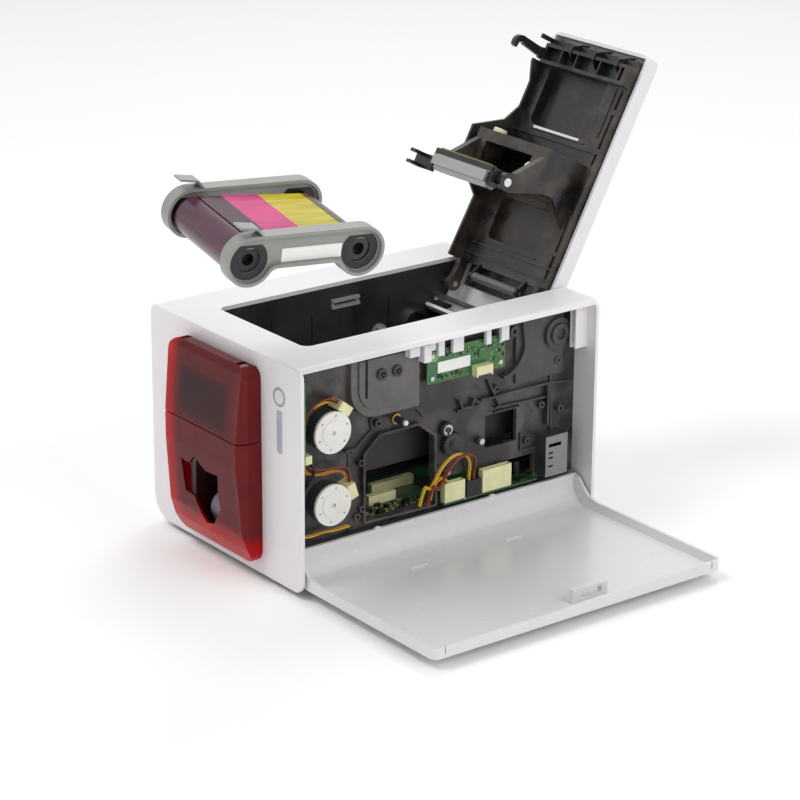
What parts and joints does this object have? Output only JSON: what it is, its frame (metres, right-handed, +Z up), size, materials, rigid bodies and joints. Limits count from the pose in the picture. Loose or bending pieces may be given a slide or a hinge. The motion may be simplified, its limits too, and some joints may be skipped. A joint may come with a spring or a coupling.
{
  "type": "desktop card printer",
  "caption": "Desktop card printer, opened for service: top lid up, side door down showing the drive side, ribbon cassette lifted out, red covers in front.",
  "frame": {"origin": "centre of the middle foot on the surface the printer stands on", "axes": "+X out of the side with the door, -Y out of the front, +Z up"},
  "size_m": [0.384, 0.4925, 0.3866],
  "materials": {
    "casing_white": "satin white plastic",
    "tray_grey": "grey plastic",
    "foot_rubber": "dark rubber",
    "liner_black": "fine-grained dark plastic",
    "chassis_grey": "dark grey plastic",
    "steel": "bright steel",
    "motor_black": "dark can",
    "motor_white": "white disc",
    "board_green": "solder-masked board",
    "connector_cream": "cream connector",
    "chip_black": "black chips",
    "cover_grey": "grey plastic cover",
    "port_metal": "stamped shells",
    "fitting_grey": "light grey plastic",
    "hopper_dark": "dark plastic",
    "guide_grey": "grey plastic guide",
    "cover_red": "tinted red plastic",
    "button_white": "white plastic",
    "ring_grey": "grey ring",
    "light_grey": "clear light guide",
    "lid_black": "black plastic with a brownish sheen",
    "sink_silver": "ribbed aluminium",
    "strip_green": "circuit strip",
    "pin_white": "white plastic",
    "knob_ivory": "ivory plastic",
    "roller_rubber": "rubber roller",
    "roller_grey": "grey roller and gear",
    "gear_dark": "dark gear",
    "hook_black": "black plastic",
    "cassette_grey": "satin warm grey plastic",
    "core_black": "dark hub",
    "ribbon_maroon": "wound ribbon",
    "film_yellow": "ribbon film, yellow and pink panels",
    "wire_yellow": "wire insulation",
    "wire_brown": "wire insulation"
  },
  "bodies": {
    "casing": {"outer_casing": "casing_white", "base_tray": "tray_grey", "feet": "foot_rubber", "chamber_liner": "liner_black", "chassis_plate": "chassis_grey", "chassis_screws": "steel", "motor_cans": "motor_black", "motor_faces": "motor_white", "main_board": "board_green", "board_connectors": "connector_cream", "board_chips": "chip_black", "sensor_board": "board_green", "front_board": "board_green", "front_plug": "connector_cream", "duct_cover": "cover_grey", "drive_housing": "chassis_grey", "port_bracket": "port_metal", "rear_ports": "chip_black", "cross_bar": "steel", "wall_catch": "fitting_grey", "drive_ring": "steel", "lid_hinge_pins": "steel", "feeder_body": "hopper_dark", "hopper_body": "hopper_dark", "hopper_guide": "guide_grey", "hopper_cover": "cover_red", "button_ring": "ring_grey", "light_bar": "light_grey", "yellow_wires": "wire_yellow", "brown_wires": "wire_brown"},
    "lid": {"lid_cover": "casing_white", "lid_frame": "lid_black", "ivory_knob": "knob_ivory", "carriage_pins": "pin_white"},
    "idler": {"idler_roller": "roller_grey"},
    "latch": {"latch_hook": "hook_black"},
    "carriage": {"head_carriage": "lid_black", "heat_sink": "sink_silver", "head_strip": "strip_green"},
    "door": {"side_door": "casing_white"},
    "feeder_flap": {"feeder_cover": "cover_red"},
    "button": {"button_cap": "button_white"},
    "cassette": {"cassette_near_frame": "cassette_grey", "cassette_far_frame": "cassette_grey", "cassette_bars": "cassette_grey", "ribbon_film": "film_yellow"},
    "supply": {"supply_core": "core_black", "supply_roll": "ribbon_maroon"},
    "take_up": {"take_up_spool": "ribbon_maroon"},
    "transport": {"transport_gear": "gear_dark", "transport_roller": "roller_rubber"},
    "circlip_wheel": {"circlip_gear": "gear_dark", "circlip": "steel"},
    "platen": {"platen_roller": "roller_rubber"},
    "pick": {"pick_roller": "roller_grey"},
    "pinion": {"motor_pinion": "steel"},
    "supply_drive": {"supply_dog": "fitting_grey"},
    "take_up_drive": {"take_up_dog": "fitting_grey"}
  },
  "joints": [
    {"name": "lid_hinge", "type": "hinge", "parent": "casing", "child": "lid", "pos_m": [0, 0.1245, 0.1746], "axis": [1, 0, 0], "range_deg": [0, 118.2]},
    {"name": "carriage_pivot", "type": "hinge", "parent": "lid", "child": "carriage", "pos_m": [0, 0.1027, 0.29181], "axis": [-1, 0, 0], "range_deg": [0, 3], "stiffness_Nm_per_rad": 2},
    {"name": "latch_pivot", "type": "hinge", "parent": "lid", "child": "latch", "pos_m": [0, 0.2234, 0.36666], "axis": [-1, 0, 0], "range_deg": [0, 10], "stiffness_Nm_per_rad": 0.2},
    {"name": "idler_spin", "type": "hinge", "parent": "lid", "child": "idler", "pos_m": [0, 0.12964, 0.18546], "axis": [1, 0, 0], "continuous": true},
    {"name": "door_hinge", "type": "hinge", "parent": "casing", "child": "door", "pos_m": [0.10075, 0, 0.01625], "axis": [0, -1, 0], "range_deg": [0, 90]},
    {"name": "feeder_cover_hinge", "type": "hinge", "parent": "casing", "child": "feeder_flap", "pos_m": [0, -0.1608, 0.1785], "axis": [-1, 0, 0], "range_deg": [0, 80]},
    {"name": "button_press", "type": "slide", "parent": "casing", "child": "button", "axis": [0, 1, 0], "range_m": [0, 0.001], "stiffness_N_per_m": 400},
    {"name": "cassette_lift", "type": "slide", "parent": "casing", "child": "cassette", "axis": [0.4376, -0.8128, 0.3846], "range_m": [-0.19, 0]},
    {"name": "supply_spin", "type": "hinge", "parent": "cassette", "child": "supply", "pos_m": [0.07891, -0.20993, 0.3088], "axis": [0.9846, -0.1172, -0.1299], "continuous": true},
    {"name": "take_up_spin", "type": "hinge", "parent": "cassette", "child": "take_up", "pos_m": [0.08949, -0.11488, 0.3032], "axis": [0.9846, -0.1172, -0.1299], "continuous": true},
    {"name": "transport_spin", "type": "hinge", "parent": "casing", "child": "transport", "pos_m": [0, 0.016, 0.09], "axis": [1, 0, 0], "continuous": true},
    {"name": "circlip_wheel_spin", "type": "hinge", "parent": "casing", "child": "circlip_wheel", "pos_m": [0, 0.00929, 0.10452], "axis": [1, 0, 0], "continuous": true},
    {"name": "platen_spin", "type": "hinge", "parent": "casing", "child": "platen", "pos_m": [0, 0.037, 0.074], "axis": [1, 0, 0], "continuous": true},
    {"name": "pick_spin", "type": "hinge", "parent": "casing", "child": "pick", "pos_m": [0, -0.11688, 0.09799], "axis": [1, 0, 0], "continuous": true},
    {"name": "pinion_spin", "type": "hinge", "parent": "casing", "child": "pinion", "pos_m": [0, -0.1144, 0.0697], "axis": [1, 0, 0], "continuous": true},
    {"name": "supply_drive_spin", "type": "hinge", "parent": "casing", "child": "supply_drive", "pos_m": [-0.06, -0.0458, 0.141], "axis": [1, 0, 0], "continuous": true},
    {"name": "take_up_drive_spin", "type": "hinge", "parent": "casing", "child": "take_up_drive", "pos_m": [-0.06, 0.05, 0.141], "axis": [1, 0, 0], "continuous": true}
  ],
  "couplings": [
    {"joint": "take_up_spin", "follows": "supply_spin", "ratio": 1.5},
    {"joint": "pinion_spin", "follows": "pick_spin", "ratio": -4.0714},
    {"joint": "circlip_wheel_spin", "follows": "transport_spin", "ratio": -1.6667},
    {"joint": "platen_spin", "follows": "transport_spin", "ratio": -0.60976}
  ]
}
